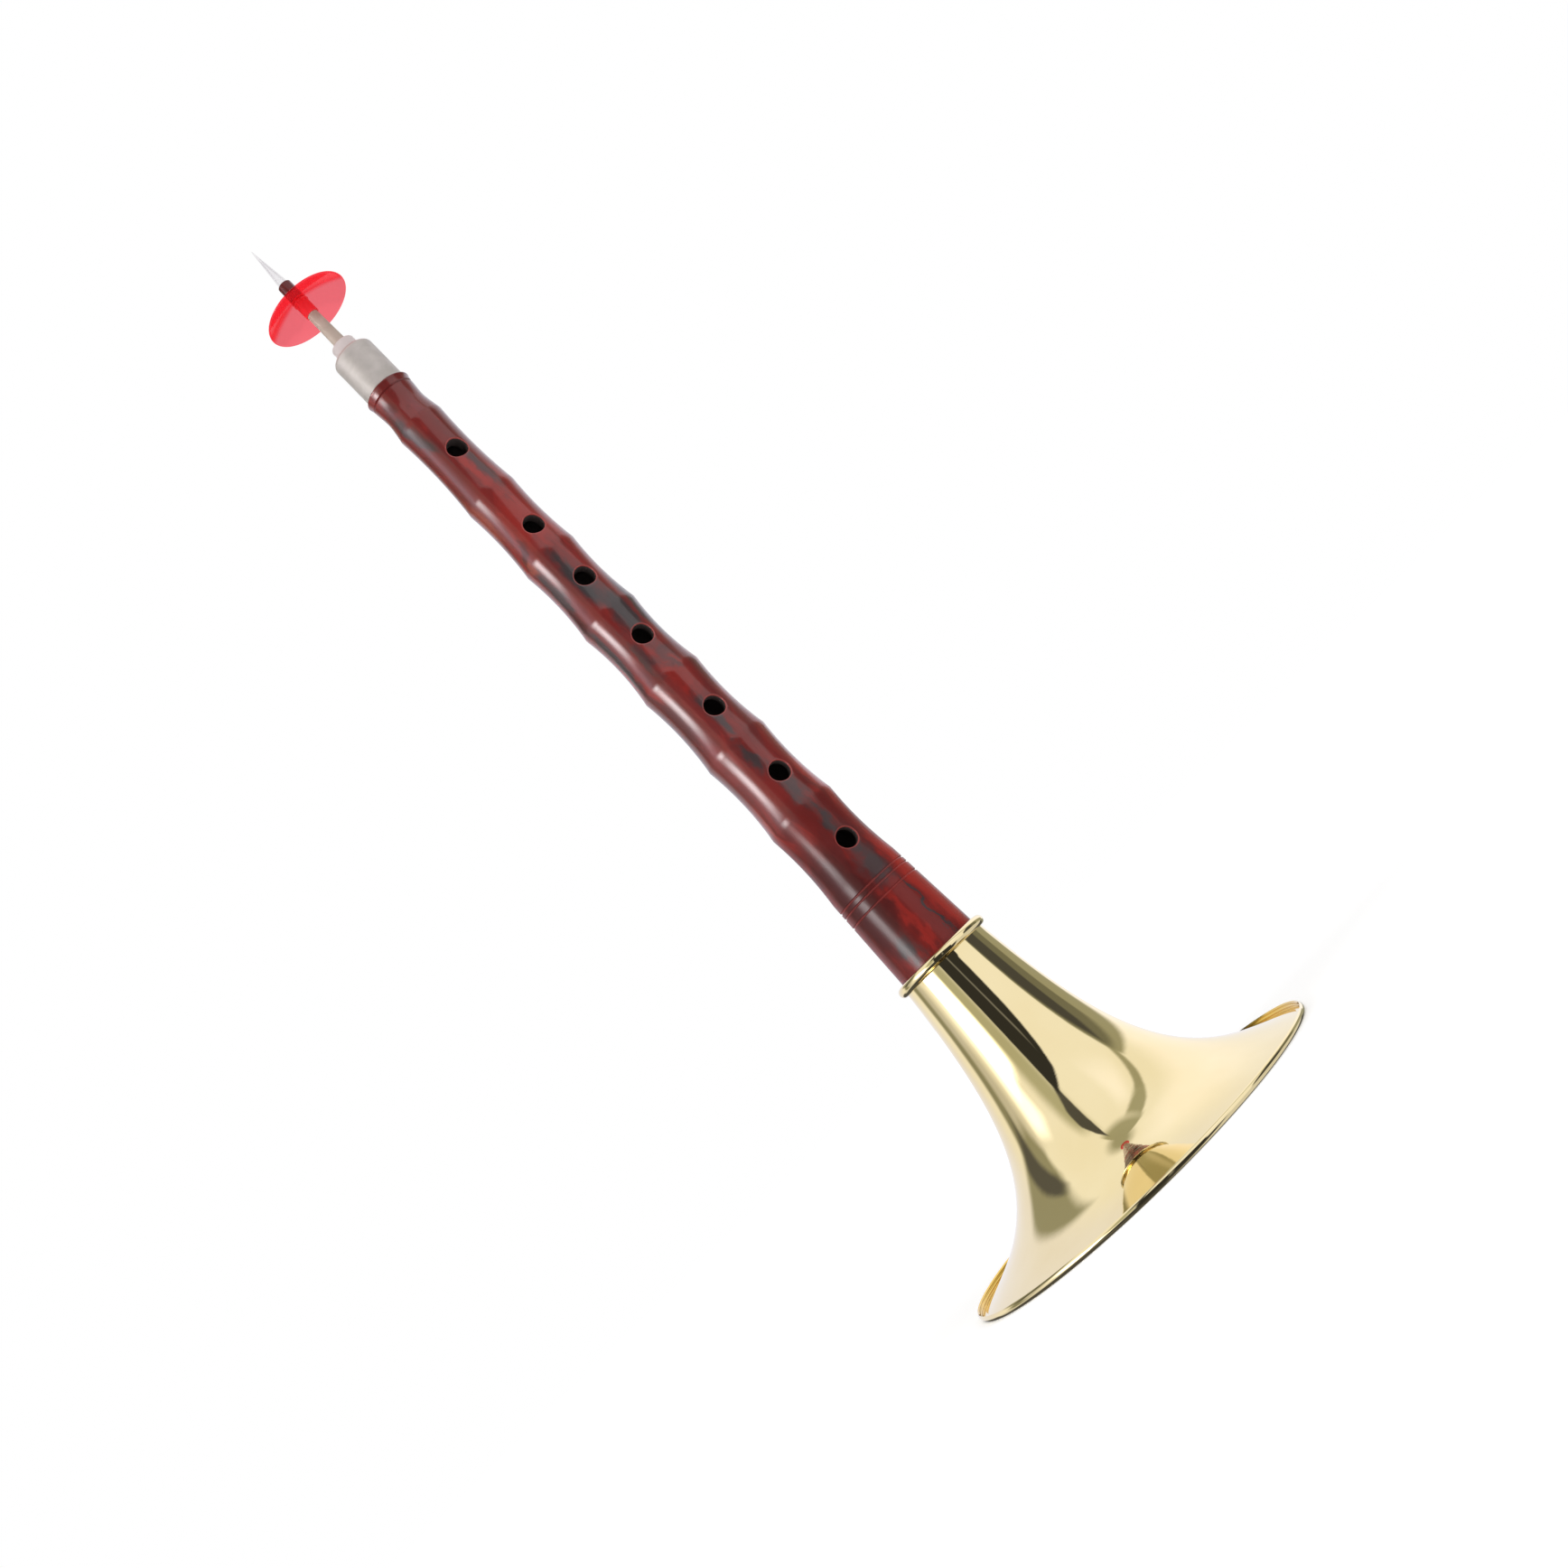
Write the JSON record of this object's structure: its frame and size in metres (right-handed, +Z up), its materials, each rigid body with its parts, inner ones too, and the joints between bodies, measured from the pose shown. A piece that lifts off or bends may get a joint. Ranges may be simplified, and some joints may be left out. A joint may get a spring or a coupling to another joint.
{
  "type": "suona",
  "caption": "Conical double-reed horn: spun brass bell, knuckled wooden stem with finger holes, tuning slide, staple, lip disc and reed.",
  "frame": {"origin": "centre of the bell's mouth, in the plane that its rim stands on", "axes": "+Z up the bore from the bell to the reed; the finger holes face -Y and the thumb hole faces +Y"},
  "size_m": [0.1336, 0.1336, 0.4094],
  "materials": {
    "bell_brass": "polished pale brass",
    "lacquered_wood": "gloss lacquer over dark red marbled wood",
    "nickel": "satin nickel",
    "bush_plastic": "matte, pinkish white",
    "tube_brass": "drawn",
    "cork": "sanded cork",
    "staple_metal": "satin",
    "disc_plastic": "translucent red",
    "collar_plastic": "gloss dark maroon",
    "reed_plastic": "milky translucent"
  },
  "bodies": {
    "stem": {"stem": "lacquered_wood"},
    "bell": {"bell": "bell_brass", "bell_neck_ring": "bell_brass"},
    "tuning_slide": {"slide_tube": "tube_brass", "slide_cork": "cork", "slide_sleeve": "nickel", "seat_bush": "bush_plastic"},
    "staple": {"staple": "staple_metal"},
    "lip_disc": {"lip_disc": "disc_plastic"},
    "reed": {"reed_collar": "collar_plastic", "reed_blade": "reed_plastic"}
  },
  "joints": [
    {"name": "bell_pull", "type": "slide", "parent": "stem", "child": "bell", "axis": [0, 0, 1], "range_m": [0, 0.29]},
    {"name": "tuning_pull", "type": "slide", "parent": "stem", "child": "tuning_slide", "axis": [0, 0, 1], "range_m": [0, 0.012]},
    {"name": "staple_pull", "type": "slide", "parent": "tuning_slide", "child": "staple", "axis": [0, 0, 1], "range_m": [0, 0.014]},
    {"name": "disc_pull", "type": "slide", "parent": "staple", "child": "lip_disc", "axis": [0, 0, 1], "range_m": [0, 0.0121]},
    {"name": "reed_pull", "type": "slide", "parent": "lip_disc", "child": "reed", "axis": [0, 0, 1], "range_m": [0, 0.005]}
  ]
}
